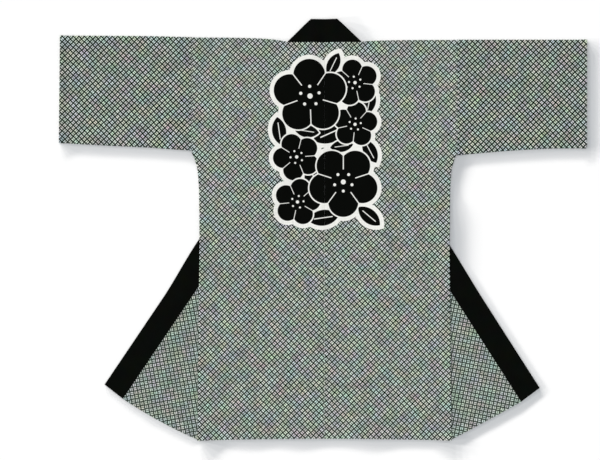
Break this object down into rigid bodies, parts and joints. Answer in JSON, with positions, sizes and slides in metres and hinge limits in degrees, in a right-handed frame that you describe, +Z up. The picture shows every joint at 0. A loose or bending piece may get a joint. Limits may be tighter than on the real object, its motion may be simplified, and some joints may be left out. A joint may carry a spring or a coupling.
{
  "type": "happi coat",
  "caption": "Happi coat of patterned cotton laid flat with its back up: straight sleeves, black collar band, both fronts turned out past the sides.",
  "frame": {"origin": "centre of the bounding box, on the surface the coat lies on", "axes": "+X towards the right sleeve as seen from above, +Y towards the collar, +Z up"},
  "size_m": [1.2676, 1.0137, 0.0066],
  "materials": {
    "coat_cloth": "matte woven cotton with a small black and off-white basket pattern",
    "band_cloth": "matte black cotton"
  },
  "bodies": {
    "root": {"body_panel_left": "coat_cloth", "body_panel_right": "coat_cloth", "sleeve_left": "coat_cloth", "sleeve_right": "coat_cloth", "collar": "band_cloth"}
  },
  "joints": []
}
